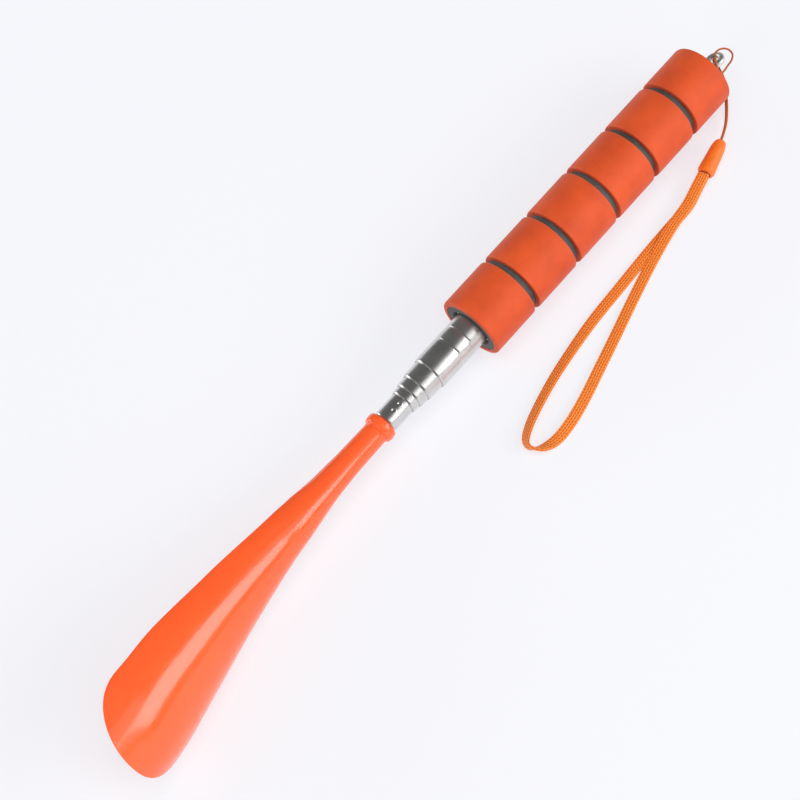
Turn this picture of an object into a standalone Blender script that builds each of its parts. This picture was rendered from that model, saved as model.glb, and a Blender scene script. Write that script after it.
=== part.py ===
"""Telescopic long shoehorn, closed to its shortest and lying on a floor.

A moulded blade is crimped to the thinnest of five sliding steel tubes, which run in a sixth tube
inside a banded foam handle. A wrist strap hangs from an eye at the handle's rear end.
Lengths are in millimetres until MM turns them into metres. The tubes' axis runs along +X from the
blade to the eye, and its zero is the front end of the second tube.
"""

import math

import bmesh
import bpy
from mathutils import Matrix, Vector
from mathutils.geometry import interpolate_bezier

MM = 0.001
SEGMENTS = 36

# Tubes, from the thinnest, which carries the blade, to the handle's own.
TUBE_DIAMETER = [8.9, 10.0, 11.1, 12.25, 13.45, 14.65]
TUBE_FRONT = [-9.5, 0.0, 3.0, 6.9, 13.6, 37.0]
TUBE_REAR = [107.0, 119.5, 132.0, 144.5, 157.0, 163.0]
WALL = 0.35
LIP_GAP = 0.1
LIP_LENGTH = 0.6
LIP_EDGE = 0.2
SEAT_LENGTH = 10.0
SEAT_DEPTH = 0.25
SEAT_FROM_REAR = 1.4
STEP_RUN = 0.3  # how far a change of a tube's diameter is spread along it
ROLLED_GROOVES = [24.5, 30.2]
ROLLED_DEPTH = 0.15
ROLLED_WIDTH = 1.3
CRIMPS = [-5.2, -2.1]
CRIMP_ANGLE = 44.0
CRIMP_BALL = 1.35
CRIMP_DEPTH = 0.2

# Friction sleeves, split springs of bronze strip round each sliding tube's rear end.
SLEEVE_LENGTH = 9.0
SLEEVE_INNER_GAP = 0.1
SLEEVE_OUTER_GAP = 0.08
SLEEVE_SLIT = math.radians(24)
SLEEVE_START = 0.5
SLEEVE_STEPS = 28

# Foam grip
GRIP_FRONT, GRIP_REAR = 35.7, 165.0
GRIP_RADIUS = 12.65
CORE_RADIUS = 10.6
CORE_BORE = 7.65
SKIN_GAP = 0.2
GROOVES = [57.1, 79.6, 101.7, 123.1, 144.9]
GROOVE_WIDTH = 2.6
BAND_EDGE = 0.6
FRONT_EDGE = 1.2
REAR_EDGE = 1.65
CORE_CHAMFER = (0.8, 0.5)

# Rear plug and the eye that is screwed into it
PLUG_FLANGE_RADIUS = 9.0
PLUG_FACE = 166.6
PLUG_FLANGE = 1.3
PLUG_EDGE = 0.5
PLUG_NOSE = 159.5
PLUG_NOSE_GAP = 0.15
PLUG_NOSE_TAPER = (1.0, 0.8)
PLUG_DISH_RADIUS = 4.6
PLUG_DISH = 0.4
EYE_CENTRE = 172.0
EYE_RING = 2.8
EYE_WIRE = 1.2
EYE_TURN = math.radians(65)
EYE_SHANK = 1.25
EYE_SHANK_END = 160.5
EYE_SHANK_TIP = (0.4, 0.3)
EYE_SHANK_NECK = 0.1
EYE_HOLE_GAP = 0.15
EYE_COLLAR = 2.1
# The collar's back, front and foot, from the plug's face.
EYE_COLLAR_AT = (0.3, 0.9, 1.5)

# Blade
COLLAR_RADIUS = 5.7
COLLAR = (-13.7, -9.8)
SPIGOT_RADIUS = 3.85
SPIGOT_END = 3.0
SPIGOT_CHAMFER = 0.4
BLADE_WALL = 1.5
BLADE_TIP = -151.5
TIP_START = -131.7
TIP_POWER = 2.17
# Along the axis: the round neck's radius.
NECK_SHAPE = [
    (-13.7, 4.5),
    (-20.0, 4.6),
    (-30.0, 4.85),
    (-40.0, 5.5),
    (-50.0, 6.4),
    (-60.0, 7.2),
    (-70.0, 7.7),
]
# Along the axis: how far the back stands off the axis, the back's radius, and half the angle it spans.
BLADE_SHAPE = [
    (-26.0, 4.7, 4.7, 112.0),
    (-35.0, 5.2, 5.7, 112.0),
    (-45.0, 6.5, 7.5, 110.0),
    (-55.0, 7.6, 8.5, 98.0),
    (-65.0, 8.0, 10.2, 76.2),
    (-90.0, 11.7, 16.1, 62.5),
    (-115.0, 17.5, 21.4, 59.8),
    (-135.0, 22.9, 24.3, 58.2),
    (BLADE_TIP, 25.2, 25.3, 66.5),
]
SCOOP_FROM, SCOOP_TO = -36.0, -64.0
NECK_EDGE = math.radians(80)
RIM_SHARE = 0.22
LAST_STEP = 0.06
BLADE_ACROSS = 12
# The closed shoehorn rolls on its grip until the blade's lower rim meets the floor.
BLADE_ROLL = math.radians(61.05)

# Wrist strap: cord through the eye, bead and flat braid. Places are (along, across, height).
CORD_DIAMETER = 0.75
STRAP_WIDTH = 4.3
STRAP_THICK = 1.2
STRAP_EDGE = 0.35
BEAD_TOP = (150.6, -19.1, 2.9)
BEAD_BOTTOM = (136.2, -23.0, 3.25)
# From the bottom of the bead: the share of its length, and the radius.
BEAD_SHAPE = [(0.0, 2.6), (0.08, 3.2), (0.8, 2.65), (0.94, 2.2), (1.0, 1.7)]
FLOOR_GAP = 0.08
TOUCH = 0.3
# From the bead up to the eye. The second strand comes back down beside the first.
CORD_FALL = [
    (151.0, -18.7, 2.8),
    (154.2, -17.3, 2.4),
    (158.0, -15.4, 2.3),
    (161.4, -13.2, 3.4),
    (164.6, -10.7, 5.0),
    (167.4, -8.2, 6.8),
    (169.2, -6.2, 8.2),
    (170.5, -4.2, 8.9),
    (171.5, -2.2, 9.3),
]
STRAND_SHIFT = (0.2, -0.2, 0.5)
# Up through the eye, round its far end, across the two strands, over it and back down.
CORD_HITCH = [
    (172.5, -0.9, 10.6),
    (172.6, -0.1, 12.6),
    (172.7, 0.4, 14.3),
    (173.5, 0.4, 15.6),
    (175.0, -0.2, 16.2),
    (176.4, -1.3, 16.0),
    (177.3, -2.8, 15.2),
    (177.0, -4.4, 14.2),
    (175.5, -5.1, 13.0),
    (173.4, -5.0, 12.0),
    (171.5, -4.9, 11.1),
    (169.8, -4.9, 11.3),
    (169.2, -4.1, 13.0),
    (169.6, -2.9, 15.0),
    (170.8, -1.3, 15.9),
    (171.5, -0.1, 14.4),
    (171.4, -0.1, 12.6),
    (171.3, -0.9, 10.6),
]
# The strap's loop: (along, across, how far its face has turned over in degrees).
STRAP_OUT = [
    (135.8, -22.8, 0),
    (130.0, -24.1, 0),
    (123.0, -25.4, 0),
    (113.0, -25.5, 0),
    (100.0, -25.8, 0),
    (83.0, -26.6, 0),
    (68.0, -27.4, 5),
    (54.5, -29.0, 14),
    (41.5, -31.1, 22),
    (30.0, -33.8, 28),
    (22.0, -36.4, 34),
    (17.6, -39.0, 50),
    (16.4, -42.2, 95),
    (19.0, -45.4, 148),
    (24.5, -46.8, 183),
    (32.0, -46.6, 192),
    (42.0, -44.6, 188),
    (54.0, -41.3, 183),
    (67.0, -37.7, 180),
    (79.0, -34.3, 180),
    (90.0, -31.3, 180),
    (101.0, -28.7, 180),
    (113.0, -26.6, 180),
    (123.0, -25.4, 180),
    (130.0, -24.1, 180),
    (135.8, -22.8, 180),
]
CROSSING = (95.0, 112.0)
INTO_BEAD = (122.0, 134.0)

MATERIALS = {
    "blade_plastic": ((0.93, 0.13, 0.035), 0.25, 0.0),
    "polished_steel": ((0.62, 0.61, 0.6), 0.14, 1.0),
    "spring_bronze": ((0.6, 0.36, 0.16), 0.3, 1.0),
    "grip_foam": ((0.78, 0.12, 0.03), 0.85, 0.0),
    "core_foam": ((0.2, 0.21, 0.19), 0.9, 0.0),
    "plug_plastic": ((0.03, 0.03, 0.032), 0.4, 0.0),
    "bead_plastic": ((0.9, 0.2, 0.03), 0.4, 0.0),
    "cord_yarn": ((0.5, 0.09, 0.01), 0.8, 0.0),
    "strap_yarn": ((0.8, 0.2, 0.02), 0.75, 0.0),
}


def clear_scene():
    for old in list(bpy.data.objects):
        bpy.data.objects.remove(old, do_unlink=True)


def material(name):
    colour, roughness, metallic = MATERIALS[name]
    made = bpy.data.materials.get(name) or bpy.data.materials.new(name)
    made.use_nodes = True
    shader = made.node_tree.nodes["Principled BSDF"]
    shader.inputs["Base Color"].default_value = (*colour, 1.0)
    shader.inputs["Roughness"].default_value = roughness
    shader.inputs["Metallic"].default_value = metallic
    made.diffuse_color = (*colour, 1.0)
    return made


def add_object(name, mesh_data, slot, parent):
    obj = bpy.data.objects.new(name, mesh_data)
    bpy.context.collection.objects.link(obj)
    obj.parent = parent
    mesh_data.materials.append(material(slot))
    return obj


def add_empty(name, location, parent=None):
    empty = bpy.data.objects.new(name, None)
    empty.location = location
    empty.parent = parent
    bpy.context.collection.objects.link(empty)
    return empty


def add_mesh(name, rings, slot, parent, closed_ends=True, closed_length=False):
    """A solid from rings of points in millimetres. Each ring has the same number of points."""
    bm = bmesh.new()
    loops = [[bm.verts.new(Vector(p) * MM) for p in ring] for ring in rings]
    pairs = list(zip(loops, loops[1:])) + ([(loops[-1], loops[0])] if closed_length else [])
    for a, b in pairs:
        for i in range(len(a)):
            j = (i + 1) % len(a)
            bm.faces.new((a[i], a[j], b[j], b[i]))
    if closed_ends and not closed_length:
        bm.faces.new(loops[0])
        bm.faces.new(loops[-1])
    bmesh.ops.recalc_face_normals(bm, faces=bm.faces)
    made = bpy.data.meshes.new(name)
    bm.to_mesh(made)
    bm.free()
    made.shade_smooth()
    made.set_sharp_from_angle(angle=math.radians(35))
    return add_object(name, made, slot, parent)


def turned(name, profile, slot, parent, hollow=True):
    """A piece turned about the X axis from its (along, radius) profile.

    A hollow piece's profile is closed. A solid piece's profile runs from end to end.
    """
    half = math.pi / SEGMENTS
    angles = [half + 2 * half * k for k in range(SEGMENTS)]
    rings = [[(x, r * math.sin(a), r * math.cos(a)) for a in angles] for x, r in profile]
    return add_mesh(name, rings, slot, parent, not hollow, hollow)


def arc(centre, radius, start, end, steps):
    """Points on an arc in the (along, radius) plane, with its angles in degrees."""
    angles = [math.radians(start + (end - start) * k / steps) for k in range(steps + 1)]
    return [(centre[0] + radius * math.cos(a), centre[1] + radius * math.sin(a)) for a in angles]


def smooth_step(t):
    t = min(max(t, 0.0), 1.0)
    return t * t * (3 - 2 * t)


def curve_through(points, per_span):
    """A smooth curve through the points, from Blender's own Bezier segments."""
    points = [Vector(p) for p in points]
    last = len(points) - 1
    ahead = [(points[min(i + 1, last)] - points[max(i - 1, 0)]) / 6 for i in range(last + 1)]
    out = []
    for i in range(last):
        start, end = points[i], points[i + 1]
        span = interpolate_bezier(start, start + ahead[i], end - ahead[i + 1], end, per_span + 1)
        out += span[: None if i == last - 1 else -1]
    return out


def value_at(rows, x, column):
    """A column of a table read at a place along the axis, by a smooth curve through its rows."""
    last = len(rows) - 1
    i = 0
    while i < last - 1 and x < rows[i + 1][0]:
        i += 1
    span = rows[i + 1][0] - rows[i][0]
    t = (x - rows[i][0]) / span

    def slope(k):
        a, b = rows[max(k - 1, 0)], rows[min(k + 1, last)]
        return (b[column] - a[column]) / (b[0] - a[0]) * span

    p, q = rows[i][column], rows[i + 1][column]
    straight = p + (q - p) * smooth_step(t)
    return straight + slope(i) * t * (1 - t) ** 2 - slope(i + 1) * t * t * (1 - t)


# Tubes


def tube_profile(number):
    """A tube's closed section: rolled-in front lip, seat for its sleeve and turned-in rear end."""
    front, rear = TUBE_FRONT[number], TUBE_REAR[number]
    outer = TUBE_DIAMETER[number] / 2
    inner = rear_bore = outer - WALL
    outside = [(front, outer - LIP_EDGE), (front + LIP_EDGE, outer)]
    if number == 4:
        half = ROLLED_WIDTH / 2
        for x in ROLLED_GROOVES:
            outside += [(x - half, outer), (x, outer - ROLLED_DEPTH), (x + half, outer)]
    inside = []
    if number < 5:
        end = rear - SEAT_FROM_REAR
        start = end - SEAT_LENGTH
        seat = outer - SEAT_DEPTH
        rear_bore = inner - SEAT_DEPTH
        outside += [(start - STEP_RUN, outer), (start, seat), (end, seat), (end + STEP_RUN, outer)]
        inside += [(end, rear_bore), (start, rear_bore), (start - STEP_RUN, inner)]
    outside.append((rear, outer))
    inside.insert(0, (rear, rear_bore))
    if number > 0:
        lip = TUBE_DIAMETER[number - 1] / 2 + LIP_GAP
        lip_end = front + LIP_LENGTH
        inside += [(lip_end + STEP_RUN, inner), (lip_end, lip), (front, lip)]
    else:
        inside.append((front, inner))
    return outside + inside


def crimp(tube, x, parent):
    """A punched dent that holds the tube on the blade's spigot. Its angle is the blade's own."""
    ball_mesh = bpy.data.meshes.new("crimp_ball")
    bm = bmesh.new()
    bmesh.ops.create_uvsphere(bm, u_segments=20, v_segments=12, radius=CRIMP_BALL * MM)
    bm.to_mesh(ball_mesh)
    bm.free()
    cutter = bpy.data.objects.new(f"crimp_cutter_{abs(x):g}", ball_mesh)
    bpy.context.collection.objects.link(cutter)
    reach = TUBE_DIAMETER[0] / 2 + CRIMP_BALL - CRIMP_DEPTH
    angle = math.radians(CRIMP_ANGLE)
    cutter.location = Vector((x, reach * math.sin(angle), reach * math.cos(angle))) * MM
    cutter.parent = parent
    cutter.hide_render = True
    cutter.display_type = "WIRE"
    dent = tube.modifiers.new(f"crimp_{abs(x):g}", "BOOLEAN")
    dent.operation = "DIFFERENCE"
    dent.object = cutter


def make_tubes(holders):
    names = ["blade_tube", "tube_2", "tube_3", "tube_4", "tube_5", "handle_tube"]
    for number, name in enumerate(names):
        tube = turned(name, tube_profile(number), "polished_steel", holders[number])
        if number == 0:
            for x in CRIMPS:
                crimp(tube, x, holders[0])


def make_sleeve(number, parent):
    """A strip rolled into an open ring, which grips the bore of the next tube."""
    inner = TUBE_DIAMETER[number] / 2 - SEAT_DEPTH + SLEEVE_INNER_GAP
    outer = TUBE_DIAMETER[number + 1] / 2 - WALL - SLEEVE_OUTER_GAP
    start = TUBE_REAR[number] - SEAT_FROM_REAR - SEAT_LENGTH + SLEEVE_START
    end = start + SLEEVE_LENGTH
    turn = 2 * math.pi - SLEEVE_SLIT
    rings = []
    for k in range(SLEEVE_STEPS + 1):
        a = SLEEVE_SLIT / 2 + turn * k / SLEEVE_STEPS
        side = Vector((0, math.sin(a), math.cos(a)))
        corners = [(start, inner), (end, inner), (end, outer), (start, outer)]
        rings.append([Vector((x, 0, 0)) + side * r for x, r in corners])
    add_mesh(f"friction_sleeve_{number + 1}", rings, "spring_bronze", parent)


# Handle


def band_ends():
    """Where each foam band starts and ends along the grip."""
    half = GROOVE_WIDTH / 2
    starts = [GRIP_FRONT] + [g + half for g in GROOVES]
    ends = [g - half for g in GROOVES] + [GRIP_REAR]
    return list(zip(starts, ends))


def make_grip(parent):
    bands = band_ends()
    under = CORE_RADIUS + SKIN_GAP
    for i, (start, end) in enumerate(bands):
        front = FRONT_EDGE if i == 0 else BAND_EDGE
        rear = REAR_EDGE if i == len(bands) - 1 else BAND_EDGE
        profile = [(start, under)]
        profile += arc((start + front, GRIP_RADIUS - front), front, 180, 90, 2)
        profile += arc((end - rear, GRIP_RADIUS - rear), rear, 90, 0, 4 if rear > 1 else 2)
        profile += [(end, under)]
        turned(f"foam_band_{i + 1}", profile, "grip_foam", parent)
    along, out = CORE_CHAMFER
    core = [(GRIP_FRONT, CORE_BORE + out), (GRIP_FRONT, CORE_RADIUS), (GRIP_REAR, CORE_RADIUS)]
    core += [(GRIP_REAR, CORE_BORE), (GRIP_FRONT + along, CORE_BORE)]
    turned("foam_core", core, "core_foam", parent)


def make_plug(parent):
    """A plug with a flange over the grip's end, dished where the eye's collar stands."""
    nose = TUBE_DIAMETER[5] / 2 - WALL - PLUG_NOSE_GAP
    taper_along, taper_out = PLUG_NOSE_TAPER
    flange = PLUG_FACE - PLUG_FLANGE
    hole = EYE_SHANK + EYE_HOLE_GAP
    dish = PLUG_FACE - PLUG_DISH
    profile = [(PLUG_NOSE, hole), (PLUG_NOSE, nose - taper_out), (PLUG_NOSE + taper_along, nose)]
    profile += [(flange, nose), (flange, PLUG_FLANGE_RADIUS)]
    profile += [(PLUG_FACE - PLUG_EDGE, PLUG_FLANGE_RADIUS), (PLUG_FACE, PLUG_FLANGE_RADIUS - PLUG_EDGE)]
    profile += [(PLUG_FACE, PLUG_DISH_RADIUS), (dish, PLUG_DISH_RADIUS - PLUG_DISH), (dish, hole)]
    turned("rear_plug", profile, "plug_plastic", parent)


def make_eye(parent):
    """A ring with its collar and shank, which is screwed into the plug."""
    steps, sides = 32, 12
    ring_side = Vector((0, -math.sin(EYE_TURN), math.cos(EYE_TURN)))
    hole_axis = Vector((0, math.cos(EYE_TURN), math.sin(EYE_TURN)))
    angles = [2 * math.pi * s / sides for s in range(sides)]
    rings = []
    for k in range(steps):
        a = 2 * math.pi * k / steps
        out = Vector((math.cos(a), 0, 0)) + ring_side * math.sin(a)
        centre = Vector((EYE_CENTRE, 0, 0)) + out * EYE_RING
        rings.append([centre + (out * math.cos(t) + hole_axis * math.sin(t)) * EYE_WIRE for t in angles])
    ring = add_mesh("lanyard_eye", rings, "polished_steel", parent, closed_length=True)
    tip_along, tip_in = EYE_SHANK_TIP
    back, front, foot = (PLUG_FACE + offset for offset in EYE_COLLAR_AT)
    profile = [(EYE_SHANK_END, EYE_SHANK - tip_in), (EYE_SHANK_END + tip_along, EYE_SHANK)]
    profile += [(back, EYE_SHANK), (back, EYE_COLLAR), (front, EYE_COLLAR)]
    profile += [(foot, EYE_SHANK), (EYE_CENTRE - EYE_RING, EYE_SHANK - EYE_SHANK_NECK)]
    shank = turned("eye_shank_join", profile, "polished_steel", parent, hollow=False)
    shank.hide_render = True
    shank.display_type = "WIRE"
    union = ring.modifiers.new("shank", "BOOLEAN")
    union.operation = "UNION"
    union.object = shank


# Blade


def scoop_loop(x):
    """The blade's thin curved section: its back, a narrow rim, and its hollow face."""
    height, radius, half = (value_at(BLADE_SHAPE, x, column) for column in (1, 2, 3))
    half = math.radians(half)
    if x < TIP_START:
        share = 1 - ((x - TIP_START) / (BLADE_TIP - TIP_START)) ** TIP_POWER
        half = math.asin(math.sin(half) * max(share, 0.0) ** (1 / TIP_POWER))
    edge = half - RIM_SHARE * BLADE_WALL / radius
    fan = [edge * (2 * k / BLADE_ACROSS - 1) for k in range(BLADE_ACROSS + 1)]
    points = [(radius, a) for a in fan] + [(radius - BLADE_WALL / 2, half)]
    points += [(radius - BLADE_WALL, -a) for a in fan] + [(radius - BLADE_WALL / 2, -half)]
    middle = height - radius
    return [(x, r * math.sin(a), middle + r * math.cos(a)) for r, a in points]


def round_loop(x, radius):
    """A round section with its points in the same order as the scoop's."""
    fan = [NECK_EDGE * (2 * k / BLADE_ACROSS - 1) for k in range(BLADE_ACROSS + 1)]
    angles = fan + [math.pi / 2] + [math.pi + a for a in fan] + [-math.pi / 2]
    return [(x, radius * math.sin(a), radius * math.cos(a)) for a in angles]


def blade_loops():
    """Sections from the spigot's end, over the collar and along the neck, to the tip."""
    chamfer_end = SPIGOT_END - SPIGOT_CHAMFER
    loops = [round_loop(SPIGOT_END, SPIGOT_RADIUS - SPIGOT_CHAMFER)]
    loops += [round_loop(chamfer_end, SPIGOT_RADIUS), round_loop(COLLAR[1], SPIGOT_RADIUS)]
    neck = NECK_SHAPE[0][1]
    collar_steps, neck_steps, spans, tip_steps = 6, 3, 15, 9
    for k in range(collar_steps + 1):
        a = math.pi * k / collar_steps
        x = COLLAR[1] + (COLLAR[0] - COLLAR[1]) * (1 - math.cos(a)) / 2
        loops.append(round_loop(x, neck + (COLLAR_RADIUS - neck) * math.sin(a) ** 0.5))
    stations = [COLLAR[0] + (SCOOP_FROM - COLLAR[0]) * k / neck_steps for k in range(1, neck_steps)]
    stations += [SCOOP_FROM + (TIP_START - SCOOP_FROM) * k / spans for k in range(spans)]
    reach = BLADE_TIP - TIP_START
    stations += [TIP_START + reach * math.sin(math.pi / 2 * k / tip_steps) for k in range(tip_steps)]
    stations.append(BLADE_TIP + LAST_STEP)
    for x in stations:
        neck_loop = round_loop(x, value_at(NECK_SHAPE, max(x, NECK_SHAPE[-1][0]), 1))
        t = smooth_step((x - SCOOP_FROM) / (SCOOP_TO - SCOOP_FROM))
        if t > 0:
            neck_loop = [Vector(a).lerp(Vector(b), t) for a, b in zip(neck_loop, scoop_loop(x))]
        loops.append(neck_loop)
    return loops


def make_blade(parent):
    """Its back faces up in its own frame, and the parent rolls it."""
    return add_mesh("blade", blade_loops(), "blade_plastic", parent)


# Wrist strap


def make_bead(parent):
    """A tapered bead. The braid goes in at its wide end and the cord comes out of the other."""
    top, bottom = Vector(BEAD_TOP), Vector(BEAD_BOTTOM)
    along = top - bottom
    side = along.cross(Vector((0, 0, 1))).normalized()
    up = side.cross(along).normalized()
    sides = 24
    angles = [2 * math.pi * k / sides for k in range(sides)]
    rings = []
    for share, r in BEAD_SHAPE:
        centre = bottom + along * share
        rings.append([centre + (side * math.sin(a) + up * math.cos(a)) * r for a in angles])
    return add_mesh("lanyard_bead", rings, "bead_plastic", parent)


def cord_route():
    shift = Vector(STRAND_SHIFT)
    up = [Vector(p) + shift for p in CORD_FALL]
    down = [Vector(p) - shift for p in reversed(CORD_FALL)]
    return up + [Vector(p) for p in CORD_HITCH] + down


def make_cord(parent):
    points = curve_through(cord_route(), 2)
    data = bpy.data.curves.new("lanyard_cord", "CURVE")
    data.dimensions = "3D"
    data.bevel_depth = CORD_DIAMETER / 2 * MM
    data.bevel_resolution = 2
    data.use_fill_caps = True
    spline = data.splines.new("POLY")
    spline.points.add(len(points) - 1)
    for spot, p in zip(spline.points, points):
        spot.co = (*(p * MM), 1.0)
    return add_object("lanyard_cord", data, "cord_yarn", parent)


def strap_height(x, turn, returning):
    """Height of the strap's middle, which lies flat, stands on edge, or lies on the other run."""
    a = math.radians(turn)
    resting = (STRAP_WIDTH * abs(math.sin(a)) + STRAP_THICK * abs(math.cos(a))) / 2
    layer = STRAP_THICK + TOUCH
    crossed = smooth_step((x - CROSSING[0]) / (CROSSING[1] - CROSSING[0]))
    lying = resting + FLOOR_GAP + (layer * crossed if returning else 0.0)
    entry = BEAD_BOTTOM[2] + (layer / 2 if returning else -layer / 2)
    into_bead = smooth_step((x - INTO_BEAD[0]) / (INTO_BEAD[1] - INTO_BEAD[0]))
    return lying + (entry - lying) * into_bead


def make_strap(parent):
    turning = next(i for i, row in enumerate(STRAP_OUT) if row[2] > 90)
    spots = []
    for i, (x, y, turn) in enumerate(STRAP_OUT):
        spots.append(Vector((x, y, strap_height(x, turn, i >= turning))))
    middle = curve_through(spots, 2)
    turns = curve_through([(row[2], 0, 0) for row in STRAP_OUT], 2)
    wide, thick = STRAP_WIDTH / 2, STRAP_THICK / 2
    section = [(STRAP_EDGE - wide, -thick), (wide - STRAP_EDGE, -thick), (wide, 0)]
    section += [(-a, -b) for a, b in section]
    last = len(middle) - 1
    rings = []
    for i, p in enumerate(middle):
        run = (middle[min(i + 1, last)] - middle[max(i - 1, 0)]).normalized()
        flat = Vector((run.y, -run.x, 0)).normalized()
        turn = Matrix.Rotation(math.radians(turns[i].x), 3, run)
        across, face = turn @ flat, turn @ flat.cross(run)
        rings.append([p + across * a + face * b for a, b in section])
    return add_mesh("lanyard_strap", rings, "strap_yarn", parent)


def stand_on_floor(frame, left_out):
    """Puts the origin on the floor below the middle of the object, without its strap and cord."""
    bpy.context.view_layer.update()
    graph = bpy.context.evaluated_depsgraph_get()
    low, high = Vector((1e9,) * 3), Vector((-1e9,) * 3)
    for obj in bpy.data.objects:
        if obj.type != "MESH" or obj.hide_render or obj.name in left_out:
            continue
        whole = obj.evaluated_get(graph)
        for corner in whole.data.vertices:
            spot = whole.matrix_world @ corner.co
            low = Vector(map(min, low, spot))
            high = Vector(map(max, high, spot))
    frame.location = (-(low.x + high.x) / 2, -(low.y + high.y) / 2, 0)
    bpy.context.view_layer.update()


def main():
    clear_scene()
    axis_height = GRIP_RADIUS * math.cos(math.pi / SEGMENTS) * MM
    frame = add_empty("frame", (0, 0, 0))
    handle = add_empty("handle_axis", (0, 0, axis_height), frame)
    holders = [add_empty(f"slide_{n}", (0, 0, 0), handle) for n in range(1, 6)] + [handle]
    blade_turn = add_empty("blade_swivel", (0, 0, 0), holders[0])
    holders[0] = blade_turn
    blade_turn.rotation_euler = (BLADE_ROLL, 0, 0)
    make_tubes(holders)
    for number in range(5):
        make_sleeve(number, holders[number])
    make_grip(handle)
    make_plug(handle)
    make_eye(handle)
    make_blade(blade_turn)
    make_bead(frame)
    make_cord(frame)
    make_strap(frame)
    stand_on_floor(frame, ("lanyard_bead", "lanyard_cord", "lanyard_strap"))


main()
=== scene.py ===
"""Looks for the telescopic long shoehorn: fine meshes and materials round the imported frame."""

import math

import bmesh
import bpy
import numpy as np
from mathutils import Matrix, Vector
from mathutils.geometry import interpolate_bezier


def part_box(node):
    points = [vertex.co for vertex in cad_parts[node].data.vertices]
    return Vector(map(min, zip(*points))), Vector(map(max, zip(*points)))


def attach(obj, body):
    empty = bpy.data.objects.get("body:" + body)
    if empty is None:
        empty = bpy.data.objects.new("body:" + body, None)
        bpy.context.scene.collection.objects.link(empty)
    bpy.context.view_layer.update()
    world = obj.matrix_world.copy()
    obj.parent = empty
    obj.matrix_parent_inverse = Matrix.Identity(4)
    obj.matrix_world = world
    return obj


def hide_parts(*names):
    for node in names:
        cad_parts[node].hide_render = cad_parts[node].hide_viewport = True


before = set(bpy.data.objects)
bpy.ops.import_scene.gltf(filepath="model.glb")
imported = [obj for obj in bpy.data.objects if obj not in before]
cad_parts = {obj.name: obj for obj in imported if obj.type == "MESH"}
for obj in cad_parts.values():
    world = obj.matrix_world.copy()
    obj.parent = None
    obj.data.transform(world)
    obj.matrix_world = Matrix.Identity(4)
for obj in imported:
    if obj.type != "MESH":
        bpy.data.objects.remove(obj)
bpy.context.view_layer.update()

MM = 0.001
tube_low, tube_high = (Vector(corner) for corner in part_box("tube_2"))
# The tubes' axis, at the front end of the second tube, and the point of the floor below it.
AXIS = Vector((tube_low.x, (tube_low.y + tube_high.y) / 2, (tube_low.z + tube_high.z) / 2))
BELOW = Vector((AXIS.x, AXIS.y, 0.0))
# The profile of a turned piece with no bore starts and ends this close to its axis, in millimetres.
NEAR_AXIS = 0.02


# Camera


def make_camera():
    """Looks down on the back of the blade from its side, with the grip further away."""
    tilt, side = math.radians(13.0), math.radians(26.05)
    distance, aside, roll = 0.686, 0.00136, math.radians(47.64)
    along = Vector((1, 0, 0))
    across = Vector((0, -math.cos(side), -math.sin(side)))
    facing = Vector((0, -math.sin(side), math.cos(side)))
    back = facing * math.cos(tilt) - along * math.sin(tilt)
    axis_seen = along * math.cos(tilt) + facing * math.sin(tilt)
    right = axis_seen * math.cos(roll) + across * math.sin(roll)
    up = axis_seen * math.sin(roll) - across * math.cos(roll)
    data = bpy.data.cameras.new("camera")
    data.lens, data.sensor_width = 90.0, 36.0
    data.clip_start, data.clip_end = 0.01, 20.0
    cam = bpy.data.objects.new("camera", data)
    bpy.context.collection.objects.link(cam)
    turn = Matrix((right, up, back)).transposed().to_4x4()
    cam.matrix_world = Matrix.Translation(AXIS + back * distance - across * aside) @ turn
    bpy.context.scene.camera = cam


make_camera()


# Meshes


def add(name, mesh):
    obj = bpy.data.objects.new(name, mesh)
    bpy.context.collection.objects.link(obj)
    return obj


def skin(name, rings, loop=False, sharp=35):
    """A closed smooth mesh from rings of points in metres. Open rings end in flat caps."""
    count, size = len(rings), len(rings[0])
    points = [tuple(p) for ring in rings for p in ring]
    faces = []
    for i in range(count if loop else count - 1):
        a, b = i * size, ((i + 1) % count) * size
        for j in range(size):
            k = (j + 1) % size
            faces.append((a + j, a + k, b + k, b + j))
    if not loop:
        faces.append(tuple(range(size)))
        faces.append(tuple(range((count - 1) * size, count * size)))
    mesh = bpy.data.meshes.new(name)
    mesh.from_pydata(points, [], faces)
    bm = bmesh.new()
    bm.from_mesh(mesh)
    bmesh.ops.recalc_face_normals(bm, faces=bm.faces)
    bm.to_mesh(mesh)
    bm.free()
    mesh.shade_smooth()
    mesh.set_sharp_from_angle(angle=math.radians(sharp))
    return add(name, mesh)


def turned(name, profile, hollow=True, segments=144, origin=AXIS, basis=None):
    """A piece turned about an axis from its (along, radius) profile in millimetres."""
    along, up, side = basis or (Vector((1, 0, 0)), Vector((0, 0, 1)), Vector((0, 1, 0)))
    angles = [2 * math.pi * k / segments for k in range(segments)]
    rings = []
    for x, r in profile:
        centre = origin + along * x * MM
        rings.append([centre + (side * math.sin(a) + up * math.cos(a)) * r * MM for a in angles])
    return skin(name, rings, loop=hollow)


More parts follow.
